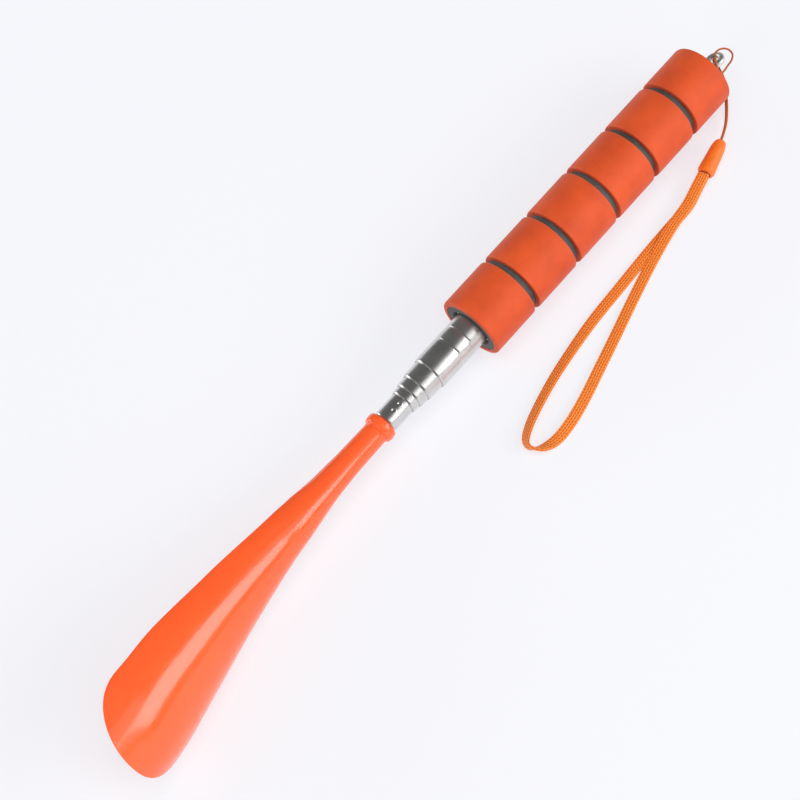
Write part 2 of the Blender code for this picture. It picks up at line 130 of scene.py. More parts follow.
def fillet(corners, steps=4, closed=True):
    """A profile with rounded corners from (along, radius, corner radius) rows."""
    out = []
    count = len(corners)
    for i, (x, y, r) in enumerate(corners):
        p = Vector((x, y))
        if r <= 0 or (not closed and i in (0, count - 1)):
            out.append((x, y))
            continue
        before = Vector(corners[i - 1][:2]) - p
        after = Vector(corners[(i + 1) % count][:2]) - p
        a, b = before.normalized(), after.normalized()
        half = math.acos(max(-1.0, min(1.0, a.dot(b)))) / 2
        cut = min(r / max(math.tan(half), 1e-6), before.length * 0.49, after.length * 0.49)
        start, end = p + a * cut, p + b * cut
        for k in range(steps + 1):
            t = k / steps
            spot = start * (1 - t) ** 2 + p * 2 * t * (1 - t) + end * t**2
            out.append((spot.x, spot.y))
    return out


def curve_through(points, per_span):
    """A smooth curve through the points, from Blender's own Bezier segments."""
    points = [Vector(p) for p in points]
    last = len(points) - 1
    ahead = [(points[min(i + 1, last)] - points[max(i - 1, 0)]) / 6 for i in range(last + 1)]
    out = []
    for i in range(last):
        span = interpolate_bezier(
            points[i], points[i] + ahead[i], points[i + 1] - ahead[i + 1], points[i + 1], per_span + 1
        )
        out += span[: None if i == last - 1 else -1]
    return out


def smooth_step(t):
    t = min(max(t, 0.0), 1.0)
    return t * t * (3 - 2 * t)


def distances(points):
    """How far along a line each of its points is."""
    return np.concatenate([[0], np.cumsum(np.linalg.norm(np.diff(points, axis=0), axis=1))])


def resampled(points, extras, step):
    """Even steps along a line, the extra values that go with them, and how far along they are."""
    line = np.array([tuple(p) for p in points])
    extra = np.array(extras, dtype=float)
    run = distances(line)
    at = np.linspace(0, run[-1], int(round(run[-1] / step)) + 1)
    even = np.stack([np.interp(at, run, line[:, i]) for i in range(3)], axis=1)
    return even, np.interp(at, run, extra), at


def directions(line):
    """Unit vectors along a line."""
    along = np.gradient(line, axis=0)
    return along / np.linalg.norm(along, axis=1)[:, None]


def frames(line):
    """Two unit vectors across a line at each point, which turn as little as they can."""
    along = directions(line)
    side = np.cross(along[0], (0.3, 0.2, 1.0))
    side /= np.linalg.norm(side)
    sides = []
    for t in along:
        side = side - t * np.dot(side, t)
        side /= np.linalg.norm(side)
        sides.append(side)
    sides = np.array(sides)
    return sides, np.cross(along, sides)


def apply_modifiers(obj):
    graph = bpy.context.evaluated_depsgraph_get()
    mesh = bpy.data.meshes.new_from_object(obj.evaluated_get(graph))
    obj.modifiers.clear()
    obj.data = mesh


# Wrist strap. Its route is the CAD's, in millimetres along, across and above the floor.

CORD_DIAMETER = 0.75
CORD_SIDES, CORD_STEP = 21, 0.16
CORD_LAY = 2.6  # the length of one full turn of the plies
PLY_VALLEY, PLY_CROWN = 0.84, 0.16  # shares of the radius: between the plies, and from there up
STRAP_WIDTH, STRAP_THICK = 4.3, 1.2
STRAP_SIDES, STRAP_STEP, STRAP_SPAN_STEPS = 84, 0.15, 24
STRAP_LEVEL = 1.5  # how much higher the returning run lies where it is on the outgoing one
SECTION_INSET, SECTION_POWER = (0.12, 0.1), 2.7
STITCH_COLUMNS, STITCH_PITCH, STITCH_SLANT = 10, 1.25, 0.42
STITCH_RISE, STITCH_SINK = 0.26, 0.12
BEAD_TOP = (150.6, -19.1, 2.9)
BEAD_BOTTOM = (136.2, -23.0, 3.25)
# From the bottom of the bead: the share of its length, and the radius.
BEAD_SHAPE = [(0.0, 2.6), (0.08, 3.2), (0.8, 2.65), (0.94, 2.2), (1.0, 1.7)]
BEAD_RECESS = 0.5
FLOOR_GAP = 0.1
# From the bead up to the eye. The second strand comes back down beside the first.
CORD_FALL = [
    (151.0, -18.7, 2.8),
    (154.2, -17.3, 2.4),
    (158.0, -15.4, 2.3),
    (161.4, -13.2, 3.4),
    (164.6, -10.7, 5.0),
    (167.4, -8.2, 6.8),
    (169.2, -6.2, 8.2),
    (170.5, -4.2, 8.9),
    (171.5, -2.2, 9.3),
]
STRAND_SHIFT = (0.2, -0.2, 0.5)
# Up through the eye, round its far end, across the two strands, over it and back down.
CORD_HITCH = [
    (172.5, -0.9, 10.6),
    (172.6, -0.1, 12.6),
    (172.7, 0.4, 14.3),
    (173.5, 0.4, 15.6),
    (175.0, -0.2, 16.2),
    (176.4, -1.3, 16.0),
    (177.3, -2.8, 15.2),
    (177.0, -4.4, 14.2),
    (175.5, -5.1, 13.0),
    (173.4, -5.0, 12.0),
    (171.5, -4.9, 11.1),
    (169.8, -4.9, 11.3),
    (169.2, -4.1, 13.0),
    (169.6, -2.9, 15.0),
    (170.8, -1.3, 15.9),
    (171.5, -0.1, 14.4),
    (171.4, -0.1, 12.6),
    (171.3, -0.9, 10.6),
]
# The strap's loop: (along, across, how far its face has turned over in degrees).
STRAP_OUT = [
    (135.8, -22.8, 0),
    (130.0, -24.1, 0),
    (123.0, -25.4, 0),
    (113.0, -25.5, 0),
    (100.0, -25.8, 0),
    (83.0, -26.6, 0),
    (68.0, -27.4, 5),
    (54.5, -29.0, 14),
    (41.5, -31.1, 22),
    (30.0, -33.8, 28),
    (22.0, -36.4, 34),
    (17.6, -39.0, 50),
    (16.4, -42.2, 95),
    (19.0, -45.4, 148),
    (24.5, -46.8, 183),
    (32.0, -46.6, 192),
    (42.0, -44.6, 188),
    (54.0, -41.3, 183),
    (67.0, -37.7, 180),
    (79.0, -34.3, 180),
    (90.0, -31.3, 180),
    (101.0, -28.7, 180),
    (113.0, -26.6, 180),
    (123.0, -25.4, 180),
    (130.0, -24.1, 180),
    (135.8, -22.8, 180),
]
CROSSING = (95.0, 112.0)
INTO_BEAD = (122.0, 134.0)


def above_floor(p):
    return BELOW + Vector(p) * MM


def cord_route():
    shift = Vector(STRAND_SHIFT)
    up = [Vector(p) + shift for p in CORD_FALL]
    down = [Vector(p) - shift for p in reversed(CORD_FALL)]
    return up + [Vector(p) for p in CORD_HITCH] + down


def make_cord():
    """Three plies twisted together: a three-lobed section that turns along the cord."""
    smooth = [above_floor(p) for p in curve_through(cord_route(), 8)]
    line, _, run = resampled(smooth, [0] * len(smooth), CORD_STEP * MM)
    side, up = frames(line)
    lay, radius = CORD_LAY * MM, CORD_DIAMETER / 2 * MM
    rings = []
    for i, p in enumerate(line):
        twist = 2 * math.pi * run[i] / lay
        ring = []
        for k in range(CORD_SIDES):
            a = 2 * math.pi * k / CORD_SIDES
            lobe = radius * (PLY_VALLEY + PLY_CROWN * abs(math.cos(1.5 * a)) ** 0.7)
            b = a + twist
            ring.append(p + (side[i] * math.cos(b) + up[i] * math.sin(b)) * lobe)
        rings.append(ring)
    return skin("cord_twisted", rings, sharp=80), line


def strap_height(x, turn, returning):
    """How high the strap's middle is: on the floor, over its other run, and up into the bead."""
    a = math.radians(turn)
    resting = (STRAP_WIDTH * abs(math.sin(a)) + STRAP_THICK * abs(math.cos(a))) / 2
    lying = resting + FLOOR_GAP
    if returning:
        lying += STRAP_LEVEL * smooth_step((x - CROSSING[0]) / (CROSSING[1] - CROSSING[0]))
    entry = BEAD_BOTTOM[2] + (0.5 if returning else -0.5) * STRAP_LEVEL
    return lying + (entry - lying) * smooth_step((x - INTO_BEAD[0]) / (INTO_BEAD[1] - INTO_BEAD[0]))


def strap_section(count):
    """Even points round a flat braid's section, with their outward directions."""
    width, thick = STRAP_WIDTH / 2 - SECTION_INSET[0], STRAP_THICK / 2 - SECTION_INSET[1]
    fine = []
    for k in range(2000):
        a = 2 * math.pi * k / 2000
        c, s = math.cos(a), math.sin(a)
        x = width * math.copysign(abs(c) ** (2 / SECTION_POWER), c)
        y = thick * math.copysign(abs(s) ** (2 / SECTION_POWER), s)
        fine.append((x, y))
    fine = np.array(fine + fine[:1])
    run = distances(fine)
    at = np.linspace(0, run[-1], count + 1)[:-1]
    spots = np.stack([np.interp(at, run, fine[:, 0]), np.interp(at, run, fine[:, 1])], axis=1)
    out = np.roll(spots, -1, axis=0) - np.roll(spots, 1, axis=0)
    out = np.stack([out[:, 1], -out[:, 0]], axis=1)
    return spots, out / np.linalg.norm(out, axis=1)[:, None]


def strap_route():
    """The strap's line in even steps, how far its face has turned over, and how far along it is."""
    turning = next(i for i, row in enumerate(STRAP_OUT) if row[2] > 90)
    spots = [
        Vector((x, y, strap_height(x, turn, i >= turning)))
        for i, (x, y, turn) in enumerate(STRAP_OUT)
    ]
    smooth = [above_floor(p) for p in curve_through(spots, STRAP_SPAN_STEPS)]
    turned_over = curve_through([(row[2], 0, 0) for row in STRAP_OUT], STRAP_SPAN_STEPS)
    return resampled(smooth, [p.x for p in turned_over], STRAP_STEP * MM)


def strap_axes(line, turns):
    """At each point of the strap, one direction across its width and one out of its face."""
    along = directions(line)
    flat = np.stack([along[:, 1], -along[:, 0], np.zeros(len(along))], axis=1)
    flat /= np.linalg.norm(flat, axis=1)[:, None]
    up = np.cross(flat, along)
    a = np.radians(turns)[:, None]
    across = flat * np.cos(a) + np.cross(along, flat) * np.sin(a)
    face = up * np.cos(a) + np.cross(along, up) * np.sin(a)
    return across, face


def stitch_heights(run):
    """How far the stitches stand out, from 0 to 1, round the section at each point of the strap."""
    column = np.arange(STRAP_SIDES) * STITCH_COLUMNS / STRAP_SIDES
    slot = np.floor(column).astype(int)
    within = 2 * (column - slot) - 1
    slant = np.where(slot % 2 == 0, 1.0, -1.0)
    phase = run[:, None] / (STITCH_PITCH * MM) + (STITCH_SLANT * slant * within)[None, :]
    part = 2 * (phase - np.floor(phase)) - 1
    return np.sqrt(np.maximum(0, 1 - within**2))[None, :] * np.maximum(0, 1 - part**2) ** 0.35


def make_strap():
    """A flat braid: columns of slanted stitches stand out of its section all round."""
    line, turns, run = strap_route()
    across, face = strap_axes(line, turns)
    section, out = strap_section(STRAP_SIDES)
    height = stitch_heights(run)
    rise = (STITCH_RISE * height - STITCH_SINK)[:, :, None]
    offset = section[None, :, :] + out[None, :, :] * rise
    points = line[:, None, :] + (
        across[:, None, :] * offset[:, :, 0:1] + face[:, None, :] * offset[:, :, 1:2]
    ) * MM
    strap = skin("strap_braid", list(points), sharp=80)
    # The stitch heights go on the mesh so the material can paint shade between the stitches.
    stitch_shade = strap.data.attributes.new("stitch_shade", "FLOAT", "POINT")
    stitch_shade.data.foreach_set("value", height.astype(np.float32).ravel())
    return strap, line


def make_bead():
    """A moulded bead, tapered to the cord's end, with soft edges and a shallow recess at both ends."""
    top, bottom = above_floor(BEAD_TOP), above_floor(BEAD_BOTTOM)
    along = (top - bottom).normalized()
    side = along.cross(Vector((0, 0, 1))).normalized()
    up = side.cross(along)
    length = (top - bottom).length / MM
    start, end = BEAD_RECESS, length - BEAD_RECESS
    corners = [(start, NEAR_AXIS, 0), (start, 1.9, 0.1), (0.0, 2.1, 0.2)]
    corners += [(length * share, r, 0.45) for share, r in BEAD_SHAPE]
    corners += [(length, 1.1, 0.15), (end, 0.9, 0.1), (end, NEAR_AXIS, 0)]
    profile = [(x, max(r, NEAR_AXIS)) for x, r in fillet(corners, 5, closed=False)]
    return turned("bead_moulded", profile, False, 96, bottom, (along, up, side))


cord, cord_line = make_cord()
strap, strap_line = make_strap()
bead = make_bead()

for piece, node in ((cord, "lanyard_cord"), (strap, "lanyard_strap"), (bead, "lanyard_bead")):
    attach(piece, "handle")
    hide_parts(node)


# Tubes

TUBE_DIAMETER = [8.9, 10.0, 11.1, 12.25, 13.45, 14.65]
TUBE_FRONT = [-9.5, 0.0, 3.0, 6.9, 13.6, 37.0]
TUBE_REAR = [107.0, 119.5, 132.0, 144.5, 157.0, 163.0]
TUBE_NODES = ["blade_tube", "tube_2", "tube_3", "tube_4", "tube_5", "handle_tube"]
TUBE_BODIES = ["blade_stem", "slider_2", "slider_3", "slider_4", "slider_5", "handle"]
WALL = 0.35
FRONT_ROUND, FRONT_RUN = 0.22, 0.5
SEAT_LENGTH, SEAT_DEPTH, SEAT_FROM_REAR = 10.0, 0.25, 1.4
LIP_GAP, LIP_LENGTH = 0.1, 0.6
RAMP = 0.3  # the run of the slopes beside the rear seat and behind the turned-in front lip
ROLLED_GROOVES, ROLLED_TUBE = [24.5, 30.2], 4
ROLLED_DEPTH, ROLLED_HALF, ROLLED_STEPS = 0.17, 0.75, 8
CRIMPS, CRIMP_ANGLE = [-5.2, -2.1], math.radians(-17)
CRIMP_MESH, CRIMP_MESH_STEP = (-7.0, 0.0), 0.12
DENT_DEPTH, DENT_RADIUS = 0.3, 0.85
DENT_RIM, DENT_RIM_RADIUS, DENT_RIM_WIDTH = 0.05, 0.95, 0.2


def rolled_groove(x, outer):
    """The points of one shallow round groove along a tube's outside."""
    points = []
    for k in range(ROLLED_STEPS + 1):
        u = k / ROLLED_STEPS * 2 - 1
        depth = ROLLED_DEPTH * math.cos(u * math.pi / 2) ** 2
        points.append((x + ROLLED_HALF * u, outer - depth, 0))
    return points


def tube_corners(number):
    """A tube's profile: out along its outside from the front, and back through its bore."""
    front, rear = TUBE_FRONT[number], TUBE_REAR[number]
    outer = TUBE_DIAMETER[number] / 2
    inner = outer - WALL
    outside = [(front, outer - FRONT_ROUND, 0.05), (front + FRONT_RUN, outer, 0.5)]
    inside = []
    if number == ROLLED_TUBE:
        for x in ROLLED_GROOVES:
            outside += rolled_groove(x, outer)
    rear_bore = inner
    if number < 5:
        end = rear - SEAT_FROM_REAR
        start = end - SEAT_LENGTH
        seat = outer - SEAT_DEPTH
        outside += [(start - RAMP, outer, 0.2), (start, seat, 0.2), (end, seat, 0.2)]
        outside += [(end + RAMP, outer, 0.2)]
        rear_bore = inner - SEAT_DEPTH
        inside += [(start, rear_bore, 0.1), (start - RAMP, inner, 0.1)]
    outside += [(rear, outer, 0.1), (rear, rear_bore, 0.1)]
    if number > 0:
        lip = TUBE_DIAMETER[number - 1] / 2 + LIP_GAP
        inside += [(front + LIP_LENGTH + RAMP, inner, 0.1), (front + LIP_LENGTH, lip, 0.1)]
        inside += [(front, lip, 0.06)]
    else:
        inside += [(front, inner, 0.06)]
    return outside + inside


def punch(tube):
    """Presses the two crimp dents into the outside of the blade's tube, each in a raised rim."""
    radius = TUBE_DIAMETER[0] / 2
    behind, inside = 2.0, radius - 0.3
    for v in tube.data.vertices:
        p = (v.co - AXIS) / MM
        r = math.hypot(p.y, p.z)
        if r < inside or p.x > behind:
            continue
        a = math.atan2(p.y, p.z) - CRIMP_ANGLE
        for x in CRIMPS:
            away = math.hypot(p.x - x, a * radius)
            rim = math.exp(-((away - DENT_RIM_RADIUS) / DENT_RIM_WIDTH) ** 2)
            depth = DENT_DEPTH * smooth_step(1 - away / DENT_RADIUS) - DENT_RIM * rim
            v.co -= Vector((0, p.y, p.z)) / r * depth * MM


def refined(profile, start, end, step):
    """The profile with its long outer edge cut into short steps between two places."""
    out = []
    for (x0, r0), (x1, r1) in zip(profile, profile[1:] + profile[:1]):
        out.append((x0, r0))
        if r0 == r1 and x1 - x0 > step:
            cuts = int((min(x1, end) - max(x0, start)) / step)
            out += [(max(x0, start) + step * k, r0) for k in range(1, cuts)]
    return out


def make_tubes():
    made = []
    for number, node in enumerate(TUBE_NODES):
        profile = fillet(tube_corners(number), 3)
        if number == 0:
            profile = refined(profile, *CRIMP_MESH, CRIMP_MESH_STEP)
        tube = turned(f"{node}_fine", profile, segments=288 if number == 0 else 160)
        if number == 0:
            punch(tube)
        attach(tube, TUBE_BODIES[number])
        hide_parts(node)
        made.append(tube)
    return made


# Grip

GRIP_FRONT, GRIP_REAR = 35.7, 165.0
GRIP_RADIUS, CORE_RADIUS, CORE_BORE = 12.6, 10.6, 7.65
GROOVES = [57.1, 79.6, 101.7, 123.1, 144.9]
GROOVE_WIDTH = 2.6
BAND_ROUND, GRIP_FRONT_ROUND, GRIP_REAR_ROUND = 0.55, 1.1, 3.6
BAND_CLEARANCE = 0.03


def make_bands():
    half = GROOVE_WIDTH / 2
    starts = [GRIP_FRONT] + [g + half for g in GROOVES]
    ends = [g - half for g in GROOVES] + [GRIP_REAR]
    under = CORE_RADIUS + BAND_CLEARANCE
    made = []
    for i, (start, end) in enumerate(zip(starts, ends)):
        front = GRIP_FRONT_ROUND if i == 0 else BAND_ROUND
        rear = GRIP_REAR_ROUND if i == len(starts) - 1 else BAND_ROUND
        corners = [(start, under, 0), (start, GRIP_RADIUS, front)]
        corners += [(end, GRIP_RADIUS, rear), (end, under, 0)]
        band = turned(f"band_{i + 1}_foam", fillet(corners, 8), segments=192)
        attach(band, "handle")
        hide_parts(f"foam_band_{i + 1}")
        made.append(band)
    return made


def make_core():
    corners = [(GRIP_FRONT + 0.15, CORE_BORE + 0.4, 0.3), (GRIP_FRONT + 0.15, CORE_RADIUS, 0.1)]
    corners += [(GRIP_REAR - 0.1, CORE_RADIUS, 0.1), (GRIP_REAR - 0.1, CORE_BORE, 0.1)]
    corners += [(GRIP_FRONT + 1.2, CORE_BORE, 0.3)]
    core = turned("core_foam_tube", fillet(corners, 5), segments=192)
    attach(core, "handle")
    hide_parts("foam_core")
    return core


# Rear plug and eye

PLUG_FLANGE_RADIUS, PLUG_FACE, PLUG_FLANGE, PLUG_NOSE = 9.0, 166.6, 1.3, 159.5
PLUG_DISH_RADIUS, PLUG_DISH = 4.6, 0.4
EYE_CENTRE, EYE_RING, EYE_WIRE, EYE_TURN = 172.0, 2.8, 1.2, math.radians(65)
EYE_SHANK, EYE_SHANK_END, EYE_COLLAR = 1.25, 160.5, 2.1


def make_plug():
    nose = TUBE_DIAMETER[5] / 2 - WALL - 0.15
    flange, dish = PLUG_FACE - PLUG_FLANGE, PLUG_FACE - PLUG_DISH
    hole = EYE_SHANK + 0.15
    corners = [(PLUG_NOSE, hole, 0.1), (PLUG_NOSE, nose - 0.8, 0.2), (PLUG_NOSE + 1.0, nose, 0.2)]
    corners += [(flange, nose, 0), (flange, PLUG_FLANGE_RADIUS, 0.1)]
    corners += [(PLUG_FACE, PLUG_FLANGE_RADIUS, 0.5)]
    corners += [(PLUG_FACE, PLUG_DISH_RADIUS, 0.15), (dish, PLUG_DISH_RADIUS - PLUG_DISH, 0.15)]
    corners += [(dish, hole, 0.1)]
    plug = turned("plug_moulded", fillet(corners, 4))
    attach(plug, "handle")
    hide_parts("rear_plug")
    return plug


def eye_ring():
    """The eye's round wire, a little thicker where it meets the shank."""
    steps, sides = 96, 28
    angles = [2 * math.pi * s / sides for s in range(sides)]
    ring_side = Vector((0, -math.sin(EYE_TURN), math.cos(EYE_TURN)))
    hole_axis = Vector((0, math.cos(EYE_TURN), math.sin(EYE_TURN)))
    rings = []
    for k in range(steps):
        a = 2 * math.pi * k / steps
        out = Vector((math.cos(a), 0, 0)) + ring_side * math.sin(a)
        thick = EYE_WIRE * (1 + 0.1 * max(0.0, -math.cos(a)) ** 6)
        centre = AXIS + (Vector((EYE_CENTRE, 0, 0)) + out * EYE_RING) * MM
        ways = [out * math.cos(t) + hole_axis * math.sin(t) for t in angles]
        rings.append([centre + way * thick * MM for way in ways])
    return skin("eye_forged", rings, loop=True)


def eye_shank():
    """The shank from inside the plug up to the ring, with the collar on the plug's face."""
    root = EYE_CENTRE - EYE_RING
    corners = [(EYE_SHANK_END, NEAR_AXIS, 0), (EYE_SHANK_END, EYE_SHANK - 0.3, 0.1)]
    corners += [(EYE_SHANK_END + 0.4, EYE_SHANK, 0.1), (PLUG_FACE + 0.3, EYE_SHANK, 0)]
    corners += [(PLUG_FACE + 0.3, EYE_COLLAR, 0.15), (PLUG_FACE + 0.9, EYE_COLLAR, 0.3)]
    corners += [(PLUG_FACE + 1.5, EYE_SHANK, 0.4), (root, EYE_SHANK - 0.1, 0), (root, NEAR_AXIS, 0)]
    return turned("eye_shank", fillet(corners, 5, closed=False), False, 64)


def make_eye():
    """A forged ring that runs into its collar and shank."""
    ring, shank = eye_ring(), eye_shank()
    union = ring.modifiers.new("shank", "BOOLEAN")
    union.operation, union.object = "UNION", shank
    apply_modifiers(ring)
    bpy.data.objects.remove(shank, do_unlink=True)
    ring.data.shade_smooth()
    ring.data.set_sharp_from_angle(angle=math.radians(40))
    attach(ring, "handle")
    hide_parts("lanyard_eye")
    return ring


# Blade

COLLAR_RADIUS, COLLAR = 5.7, (-13.7, -9.8)
SPIGOT_RADIUS, SPIGOT_END, SPIGOT_CHAMFER = 3.85, 3.0, 0.4
BLADE_WALL = 1.5
BLADE_TIP, TIP_START, TIP_POWER = -151.5, -131.7, 2.17
# Along the axis: the round neck's radius.
NECK_SHAPE = [
    (-13.7, 4.5),
    (-20.0, 4.6),
    (-30.0, 4.85),
    (-40.0, 5.5),
    (-50.0, 6.4),
    (-60.0, 7.2),
    (-70.0, 7.7),
]
# Along the axis: how far the back stands off the axis, the back's radius, and half the angle it spans.
BLADE_SHAPE = [
    (-26.0, 4.7, 4.7, 112.0),
    (-35.0, 5.2, 5.7, 112.0),
    (-45.0, 6.5, 7.8, 110.0),
    (-55.0, 7.6, 8.5, 94.0),
    (-65.0, 8.0, 10.2, 76.2),
    (-90.0, 11.7, 16.1, 62.5),
    (-115.0, 17.5, 21.4, 59.8),
    (-135.0, 22.9, 24.3, 58.2),
    (BLADE_TIP, 25.2, 25.3, 66.5),
]
SCOOP_FROM, SCOOP_TO = -34.0, -66.0
NECK_EDGE = math.radians(80)
BLADE_ROLL = math.radians(61.05)
FOOT, FOOT_RUN = 0.25, 0.5  # the small round that runs from the neck up to the collar
# The mesh: points across a face and round a rim, and sections along each stretch.
FACE_STEPS, RIM_STEPS = 40, 8
COLLAR_STEPS, NECK_STEPS, BLADE_STEPS, TIP_STEPS = 24, 24, 110, 60


def value_at(rows, x, column):
    """A column of a table read at a place along the axis, by a smooth curve through its rows."""
    last = len(rows) - 1
    i = 0
    while i < last - 1 and x < rows[i + 1][0]:
        i += 1
    span = rows[i + 1][0] - rows[i][0]
    t = (x - rows[i][0]) / span

    def slope(k):
        a, b = rows[max(k - 1, 0)], rows[min(k + 1, last)]
        return (b[column] - a[column]) / (b[0] - a[0]) * span

    p, q = rows[i][column], rows[i + 1][column]
    straight = p + (q - p) * smooth_step(t)
    return straight + slope(i) * t * (1 - t) ** 2 - slope(i + 1) * t * t * (1 - t)


def scoop_loop(x):
    """The blade's thin curved section, with a half-round rim on both sides."""
    height, radius, half = (value_at(BLADE_SHAPE, x, column) for column in (1, 2, 3))
    half = math.radians(half)
    if x < TIP_START:
        share = 1 - ((x - TIP_START) / (BLADE_TIP - TIP_START)) ** TIP_POWER
        half = math.asin(math.sin(half) * max(share, 0.0) ** (1 / TIP_POWER))
    middle = height - radius
    to_tip = (x - BLADE_TIP) / (BLADE_WALL / 2)
    wall = BLADE_WALL * math.sqrt(max(1 - (1 - min(to_tip, 1.0)) ** 2, 0.0004))
    centre = radius - BLADE_WALL / 2
    rim = min(wall / 2 / centre, half * 0.98)
    points = []
    for sign in (1, -1):
        for k in range(FACE_STEPS + 1):
            a = (half - rim) * (2 * k / FACE_STEPS - 1)
            points.append((centre + sign * wall / 2, sign * a))
        for k in range(1, RIM_STEPS):
            t = math.pi * k / RIM_STEPS
            a = half - rim + rim * math.sin(t)
            points.append((centre + sign * wall / 2 * math.cos(t), sign * a))
    return [(x, r * math.sin(a), middle + r * math.cos(a)) for r, a in points]


def neck_loop(x, radius):
    """A round section with its points in the same order as the scoop's."""
    angles = []
    for start in (-NECK_EDGE, math.pi - NECK_EDGE):
        angles += [start + 2 * NECK_EDGE * k / FACE_STEPS for k in range(FACE_STEPS + 1)]
        gap = math.pi - 2 * NECK_EDGE
        angles += [start + 2 * NECK_EDGE + gap * k / RIM_STEPS for k in range(1, RIM_STEPS)]
    return [(x, radius * math.sin(a), radius * math.cos(a)) for a in angles]


def neck_radius(x):
    foot = FOOT * math.exp(-((x - COLLAR[0]) / FOOT_RUN) ** 2)
    return value_at(NECK_SHAPE, max(x, NECK_SHAPE[-1][0]), 1) + foot


def spigot_loops():
    ends = [(SPIGOT_END, SPIGOT_RADIUS - SPIGOT_CHAMFER)]
    ends += [(SPIGOT_END - SPIGOT_CHAMFER, SPIGOT_RADIUS), (COLLAR[1], SPIGOT_RADIUS)]
    return [neck_loop(x, radius) for x, radius in ends]


def collar_loops():
    """The collar bead, whose front half runs into the neck's foot."""
    neck = NECK_SHAPE[0][1]
    loops = []
    for k in range(COLLAR_STEPS + 1):
        a = math.pi * k / COLLAR_STEPS
        x = COLLAR[1] + (COLLAR[0] - COLLAR[1]) * (1 - math.cos(a)) / 2
        radius = neck + (COLLAR_RADIUS - neck) * math.sin(a) ** 0.5
        if k > COLLAR_STEPS // 2:
            radius = max(radius, neck_radius(x))
        loops.append(neck_loop(x, radius))
    return loops


def stations():
    """Places along the neck and the blade, closer together near the collar and at the tip."""
    reach, run = BLADE_TIP - TIP_START, SCOOP_FROM - COLLAR[0]
    neck = [COLLAR[0] + run * (k / NECK_STEPS) ** 1.5 for k in range(1, NECK_STEPS)]
    blade = [SCOOP_FROM + (TIP_START - SCOOP_FROM) * k / BLADE_STEPS for k in range(BLADE_STEPS)]
    tip = [TIP_START + reach * math.sin(0.5 * math.pi * k / TIP_STEPS) for k in range(TIP_STEPS + 1)]
    return neck + blade + tip


def blade_loops():
    """All the blade's sections: the round neck turns into the thin scoop along the way."""
    loops = spigot_loops() + collar_loops()
    for x in stations():
        neck = neck_loop(x, neck_radius(x))
        t = smooth_step((x - SCOOP_FROM) / (SCOOP_TO - SCOOP_FROM))
        scoop = scoop_loop(x) if t > 0 else neck
        loops.append([Vector(a).lerp(Vector(b), t) for a, b in zip(neck, scoop)])
    return loops


def make_blade():
    turn = Matrix.Rotation(BLADE_ROLL, 3, "X")
    rings = [[AXIS + turn @ Vector(p) * MM for p in loop] for loop in blade_loops()]
    blade = skin("blade_moulded", rings, sharp=50)
    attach(blade, "blade_stem")
    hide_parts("blade")
    return blade


# Materials


class Shader:
    """A Principled material and short calls for the nodes that feed it."""

    def __init__(self, name, colour, roughness, metallic=0.0):
        self.material = bpy.data.materials.new(name)
        self.material.use_nodes = True
        self.tree = self.material.node_tree
        self.main = self.tree.nodes["Principled BSDF"]
        self.place = self.tree.nodes.new("ShaderNodeTexCoord").outputs["Object"]
        self.set("Base Color", (*colour, 1.0))
        self.set("Roughness", roughness)
        self.set("Metallic", metallic)

    def set(self, socket, value):
        self.main.inputs[socket].default_value = value

    def link(self, source, target):
        self.tree.links.new(source, target)

    def stretched(self, scale):
        node = self.tree.nodes.new("ShaderNodeMapping")
        node.inputs["Scale"].default_value = scale
        self.link(self.place, node.inputs["Vector"])
        return node.outputs["Vector"]

    def noise(self, scale, detail=3.0, roughness=0.5, vector=None):
        node = self.tree.nodes.new("ShaderNodeTexNoise")
        node.inputs["Scale"].default_value = scale
        node.inputs["Detail"].default_value = detail
        node.inputs["Roughness"].default_value = roughness
        self.link(vector or self.place, node.inputs["Vector"])
        return node.outputs["Fac"]

    def cells(self, scale):
        node = self.tree.nodes.new("ShaderNodeTexVoronoi")
        node.inputs["Scale"].default_value = scale
        self.link(self.place, node.inputs["Vector"])
        return node.outputs["Distance"]

    def attribute(self, name):
        node = self.tree.nodes.new("ShaderNodeAttribute")
        node.attribute_name = name
        return node.outputs["Fac"]

    def span(self, source, low, high, to_low=0.0, to_high=1.0):
        node = self.tree.nodes.new("ShaderNodeMapRange")
        values = (("From Min", low), ("From Max", high), ("To Min", to_low), ("To Max", to_high))
        for key, value in values:
            node.inputs[key].default_value = value
        self.link(source, node.inputs["Value"])
        return node.outputs["Result"]

    def combine(self, operation, a, b):
        node = self.tree.nodes.new("ShaderNodeMath")
        node.operation = operation
        for socket, value in zip(node.inputs, (a, b)):
            if isinstance(value, (int, float)):
                socket.default_value = value
            else:
                self.link(value, socket)
        return node.outputs["Value"]

    def weighted(self, a, share_a, b, share_b):
        """Two values added together, each times its own share."""
        first, second = self.combine("MULTIPLY", a, share_a), self.combine("MULTIPLY", b, share_b)
        return self.combine("ADD", first, second)

    def ramp(self, source, *stops):
        node = self.tree.nodes.new("ShaderNodeValToRGB")
        elements = node.color_ramp.elements
        while len(elements) < len(stops):
            elements.new(0.5)
        for element, (at, colour) in zip(elements, stops):
            element.position, element.color = at, (*colour, 1.0)
        self.link(source, node.inputs["Fac"])
        return node.outputs["Color"]

    def colour(self, source):
        self.link(source, self.main.inputs["Base Color"])

    def roughness(self, source, low, high):
        self.link(self.span(source, 0.25, 0.75, low, high), self.main.inputs["Roughness"])

    def bump(self, height, distance, strength=1.0):
        node = self.tree.nodes.new("ShaderNodeBump")
        node.inputs["Distance"].default_value = distance
        node.inputs["Strength"].default_value = strength
        self.link(height, node.inputs["Height"])
        target = self.main.inputs["Normal"]
        if target.is_linked:
            self.link(target.links[0].from_socket, node.inputs["Normal"])
        self.link(node.outputs["Normal"], target)


